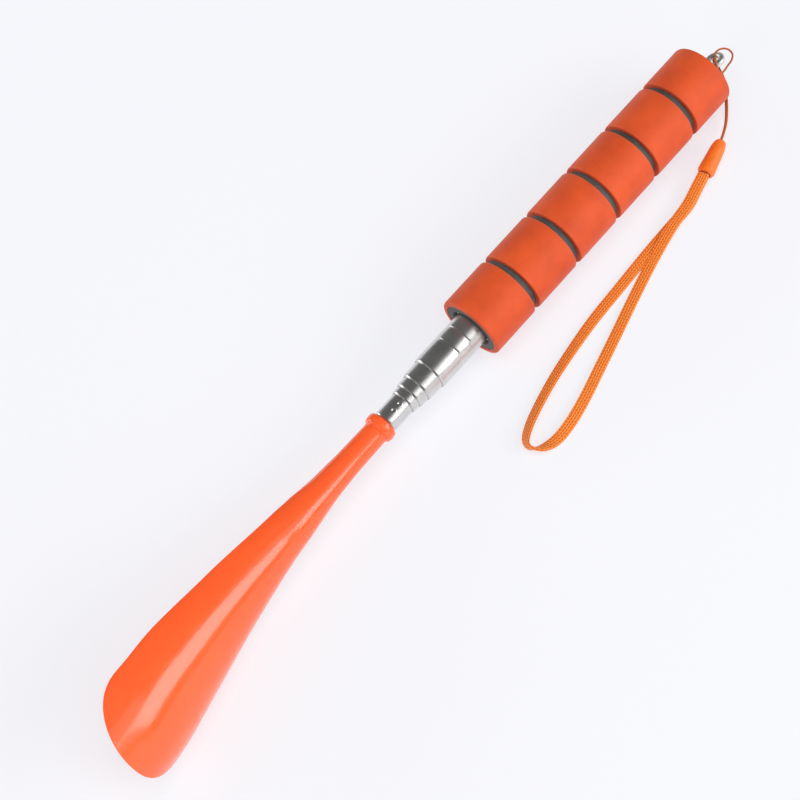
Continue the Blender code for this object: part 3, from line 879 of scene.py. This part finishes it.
def blade_plastic():
    s = Shader("blade_plastic", (0.98, 0.12, 0.025), 0.2)
    s.set("IOR", 1.5)
    s.set("Subsurface Weight", 0.35)
    s.set("Subsurface Radius", (1.0, 0.35, 0.12))
    s.set("Subsurface Scale", 0.0025)
    s.set("Coat Weight", 0.25)
    s.set("Coat Roughness", 0.06)
    flow = s.noise(38, 4, 0.55, s.stretched((0.35, 1, 1)))
    s.colour(s.ramp(flow, (0.3, (0.96, 0.112, 0.022)), (0.7, (1.0, 0.132, 0.028))))
    s.roughness(s.noise(420, 5, 0.6), 0.13, 0.24)
    s.bump(s.noise(150, 2, 0.4, s.stretched((0.4, 1, 1))), 0.00003, 0.5)
    scratches = s.noise(900, 2, 0.3, s.stretched((0.03, 1, 1)))
    s.bump(s.span(scratches, 0.62, 0.75), 0.000004, 0.5)
    return s.material


def polished_steel():
    s = Shader("polished_steel", (0.7, 0.69, 0.68), 0.3, 1.0)
    drawn = s.noise(1800, 3, 0.6, s.stretched((0.012, 1, 1)))
    smudge = s.noise(160, 4, 0.6)
    s.colour(s.ramp(smudge, (0.3, (0.64, 0.63, 0.62)), (0.7, (0.74, 0.73, 0.72))))
    s.roughness(s.weighted(drawn, 0.5, smudge, 0.5), 0.25, 0.36)
    s.bump(drawn, 0.000001, 0.3)
    return s.material


def satin_steel():
    s = Shader("satin_steel", (0.86, 0.86, 0.86), 0.45, 1.0)
    worn = s.noise(900, 4, 0.6)
    s.colour(s.ramp(worn, (0.3, (0.8, 0.8, 0.8)), (0.7, (0.92, 0.92, 0.91))))
    s.roughness(worn, 0.38, 0.55)
    s.bump(worn, 0.000004, 0.5)
    return s.material


def spring_bronze():
    s = Shader("spring_bronze", (0.6, 0.36, 0.16), 0.3, 1.0)
    wear = s.noise(500, 4, 0.6)
    s.colour(s.ramp(wear, (0.3, (0.45, 0.25, 0.1)), (0.7, (0.7, 0.44, 0.2))))
    s.roughness(wear, 0.22, 0.4)
    return s.material


def foam(name, low, high, cell, depth):
    s = Shader(name, high, 0.85)
    s.set("Sheen Weight", 0.05)
    s.set("Sheen Roughness", 0.6)
    s.set("Specular IOR Level", 0.35)
    cells = s.cells(cell)
    fine = s.noise(cell * 2.2, 4, 0.65)
    cloud = s.noise(90, 3, 0.55)
    s.colour(s.ramp(s.weighted(cloud, 0.55, fine, 0.45), (0.32, low), (0.66, high)))
    s.roughness(fine, 0.5, 0.68)
    s.bump(s.span(cells, 0.0, 0.5), depth, 0.7)
    s.bump(fine, depth * 0.8, 0.6)
    return s.material


def plug_plastic():
    s = Shader("plug_plastic", (0.03, 0.03, 0.032), 0.4)
    grain = s.noise(2600, 3, 0.6)
    s.colour(s.ramp(s.noise(120, 3, 0.5), (0.3, (0.022, 0.022, 0.024)), (0.7, (0.04, 0.04, 0.042))))
    s.roughness(grain, 0.32, 0.5)
    s.bump(grain, 0.00002, 0.6)
    return s.material


def bead_plastic():
    s = Shader("bead_plastic", (0.9, 0.18, 0.018), 0.38)
    s.set("Subsurface Weight", 0.3)
    s.set("Subsurface Radius", (1.0, 0.4, 0.1))
    s.set("Subsurface Scale", 0.001)
    cloud = s.noise(420, 4, 0.55)
    s.colour(s.ramp(cloud, (0.3, (0.82, 0.155, 0.014)), (0.7, (0.92, 0.2, 0.022))))
    s.roughness(s.noise(1500, 3, 0.6), 0.3, 0.48)
    s.bump(s.noise(1900, 3, 0.5), 0.000012, 0.6)
    return s.material


def yarn(name, low, high, painted_stitch_shade):
    """Dyed fibre with a random tone; on the strap, painted shade darkens it between the stitches,
    where the mesh says how high they stand.
    """
    s = Shader(name, high, 0.7)
    s.set("Sheen Weight", 0.5)
    s.set("Sheen Roughness", 0.4)
    fibre = s.noise(3200, 4, 0.65)
    tone, dark, bright = s.combine("MULTIPLY", fibre, 0.6), 0.15, 0.5
    if painted_stitch_shade:
        # Painted shade between the stitches: a low stitch height pulls the strap's colour to its
        # darker, shaded copy.
        tone, dark, bright = s.weighted(s.attribute("stitch_shade"), 0.8, tone, 0.6), 0.4, 0.95
    s.colour(s.ramp(tone, (dark, low), (bright, high)))
    s.roughness(fibre, 0.55, 0.85)
    s.bump(fibre, 0.00005, 0.7)
    return s.material


def pale_floor():
    """A lit shooting table: part of its paleness is its own light, which keeps shadows faint."""
    s = Shader("pale_floor", (0.3, 0.3, 0.305), 0.7)
    s.set("Specular IOR Level", 0.1)
    s.set("Emission Color", (0.93, 0.94, 0.99, 1.0))
    s.set("Emission Strength", 0.66)
    return s.material


def dress(objects, material):
    for obj in objects:
        obj.data.materials.clear()
        obj.data.materials.append(material)


# Stage


def make_floor():
    mesh = bpy.data.meshes.new("floor")
    size = 4.0
    corners = [(-size, -size, 0), (size, -size, 0), (size, size, 0), (-size, size, 0)]
    mesh.from_pydata(corners, [], [(0, 1, 2, 3)])
    floor = add("floor", mesh)
    dress([floor], pale_floor())


def softbox(name, azimuth, elevation, distance, width, height, radiance, glossy=True):
    """An area light aimed at the object. Azimuth 0 is the -Y side, 90 the +X side."""
    a, e = math.radians(azimuth), math.radians(elevation)
    back = Vector((math.sin(a) * math.cos(e), -math.cos(a) * math.cos(e), math.sin(e)))
    data = bpy.data.lights.new(name, "AREA")
    data.shape, data.size, data.size_y = "RECTANGLE", width, height
    data.energy = radiance * math.pi * width * height
    light = bpy.data.objects.new(name, data)
    bpy.context.collection.objects.link(light)
    light.location = AXIS + back * distance
    light.rotation_mode = "QUATERNION"
    light.rotation_quaternion = back.to_track_quat("Z", "Y")
    light.visible_glossy = glossy
    return light


def make_lights():
    """Five soft boxes that the shiny surfaces reflect, then three fills that they don't show."""
    softbox("key_strip", 35, 25, 4.0, 2.7, 1.7, 4.8)
    softbox("upper_wall", 16, 46, 4.0, 2.0, 1.3, 0.9)
    softbox("low_wall", -8, 6, 4.0, 2.8, 0.85, 1.1)
    softbox("front_wall", -90, 24, 4.0, 2.6, 2.0, 2.4)
    softbox("far_wall", -150, 11, 4.0, 4.0, 1.5, 3.0)
    softbox("far_fill", 180, 30, 3.0, 2.4, 1.4, 0.8, glossy=False)
    softbox("overhead", 0, 78, 2.5, 2.0, 2.0, 2.7, glossy=False)
    softbox("side_fill", 0, 25, 3.0, 2.4, 1.4, 2.2, glossy=False)
    world = bpy.data.worlds.new("studio")
    world.use_nodes = True
    world.node_tree.nodes["Background"].inputs["Color"].default_value = (0.13, 0.13, 0.13, 1)
    bpy.context.scene.world = world
    bpy.context.scene.view_settings.view_transform = "Standard"


def main():
    tubes = make_tubes()
    bands = make_bands()
    core = make_core()
    plug = make_plug()
    eye = make_eye()
    blade = make_blade()
    sleeves = [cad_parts[f"friction_sleeve_{n}"] for n in range(1, 6)]
    dress([blade], blade_plastic())
    dress(tubes, polished_steel())
    dress([eye], satin_steel())
    dress(sleeves, spring_bronze())
    dress(bands, foam("grip_foam", (0.54, 0.056, 0.008), (0.74, 0.09, 0.014), 2400, 0.00005))
    # The core's grey is darker than the foam's own: painted shade for the floors of the grooves
    # between the bands, which also darkens its end face.
    dress([core], foam("core_foam", (0.035, 0.036, 0.034), (0.11, 0.112, 0.105), 1700, 0.00008))
    dress([plug], plug_plastic())
    dress([bead], bead_plastic())
    dress([cord], yarn("cord_yarn", (0.32, 0.06, 0.006), (0.7, 0.17, 0.02), painted_stitch_shade=False))
    # On the strap, the darker colour is painted shade between the stitches and the brighter one a lit
    # copy of its dye on their tops.
    dress([strap], yarn("strap_yarn", (0.58, 0.07, 0.005), (1.0, 0.31, 0.035), painted_stitch_shade=True))
    make_floor()
    make_lights()


main()
